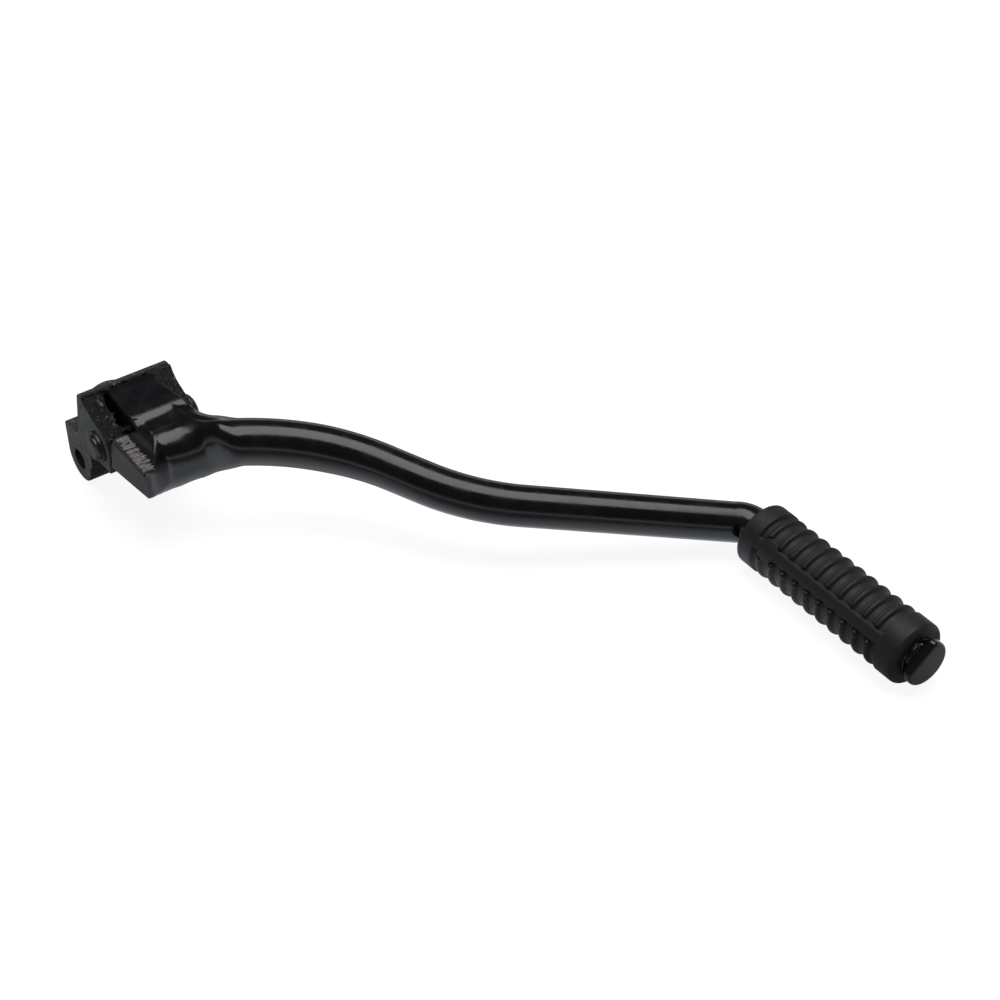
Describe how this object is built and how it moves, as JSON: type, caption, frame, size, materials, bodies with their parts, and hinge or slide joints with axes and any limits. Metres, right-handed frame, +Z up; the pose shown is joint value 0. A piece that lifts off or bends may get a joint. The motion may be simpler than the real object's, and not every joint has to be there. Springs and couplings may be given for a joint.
{
  "type": "kick start lever",
  "caption": "Folding kick start lever: splined clamp boss, bent forged arm on a cross pin, ribbed rubber sleeve on the foot peg.",
  "frame": {"origin": "on the splined bore's axis, at the boss's back face", "axes": "the bore and the foot peg run along Y, the arm reaches out towards -Y, the fold pin runs along X, +Z is up as the lever lies on a floor"},
  "size_m": [0.199, 0.2874, 0.047],
  "materials": {
    "boss_steel": "satin black over forged steel, end face linished",
    "pin_steel": "gloss black",
    "ring_steel": "satin black",
    "arm_paint": "gloss black",
    "ball_steel": "polished",
    "spring_steel": "oiled",
    "rubber": "matt moulded"
  },
  "bodies": {
    "clamp_boss": {"boss": "boss_steel", "pivot_pin": "pin_steel", "snap_ring": "ring_steel"},
    "arm": {"lever_arm": "arm_paint", "grip_sleeve": "rubber", "detent_spring": "spring_steel"},
    "ball": {"detent_ball": "ball_steel"}
  },
  "joints": [
    {"name": "fold", "type": "hinge", "parent": "clamp_boss", "child": "arm", "pos_m": [0, -0.0307, 0.0084], "axis": [1, 0, 0], "range_deg": [0, 85]},
    {"name": "detent", "type": "slide", "parent": "arm", "child": "ball", "axis": [1, 0, 0], "range_m": [0, 0.00025], "stiffness_N_per_m": 4000, "springref_m": -0.0005}
  ]
}
